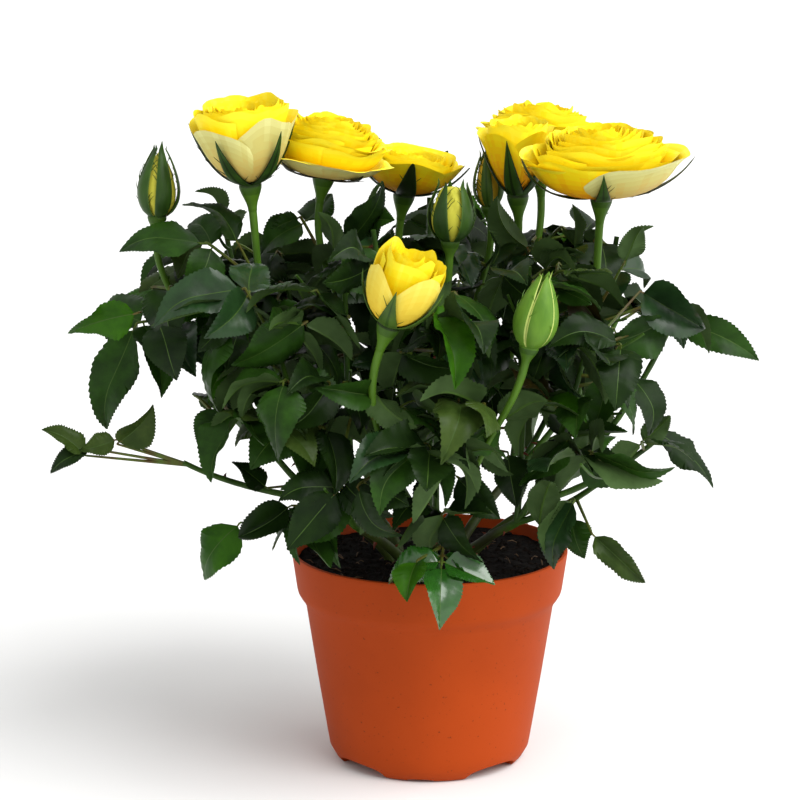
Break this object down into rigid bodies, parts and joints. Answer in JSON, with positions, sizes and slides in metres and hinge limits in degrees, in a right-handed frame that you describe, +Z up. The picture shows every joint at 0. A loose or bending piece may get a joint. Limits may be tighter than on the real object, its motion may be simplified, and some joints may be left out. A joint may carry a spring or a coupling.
{
  "type": "potted miniature rose bush",
  "caption": "Miniature rose bush with double yellow blooms and closed buds over dark leaves, in a round terracotta-coloured plastic nursery pot filled with peat.",
  "frame": {"origin": "middle of the pot's flat underside, on the surface that it stands on", "axes": "+Z up, -Y towards the viewer who sees the front, +X to that viewer's right"},
  "size_m": [0.302, 0.2419, 0.2946],
  "materials": {
    "pot": "matte moulded",
    "soil": "rough moist peat",
    "cane": "smooth green bark",
    "leaf": "glossy leaf",
    "petal": "satin petal"
  },
  "bodies": {
    "root": {"pot": "pot", "soil": "soil", "cane_left": "cane", "cane_front_left": "cane", "cane_front": "cane", "cane_front_right": "cane", "cane_right": "cane", "cane_back_right": "cane", "cane_back": "cane", "cane_back_left": "cane", "cane_centre": "cane", "leaves_left": "leaf", "leaves_front_left": "leaf", "leaves_front": "leaf", "leaves_front_right": "leaf", "leaves_right": "leaf", "leaves_back_right": "leaf", "leaves_back": "leaf", "leaves_back_left": "leaf", "leaves_centre": "leaf", "bloom_1": "petal", "bloom_2": "petal", "bloom_3": "petal", "bloom_4": "petal", "bloom_5": "petal", "bloom_6": "petal", "bloom_7": "petal", "bloom_8": "petal", "bud_1": "petal", "bud_2": "petal", "bud_3": "petal", "bud_4": "petal", "bud_5": "petal"}
  },
  "joints": []
}
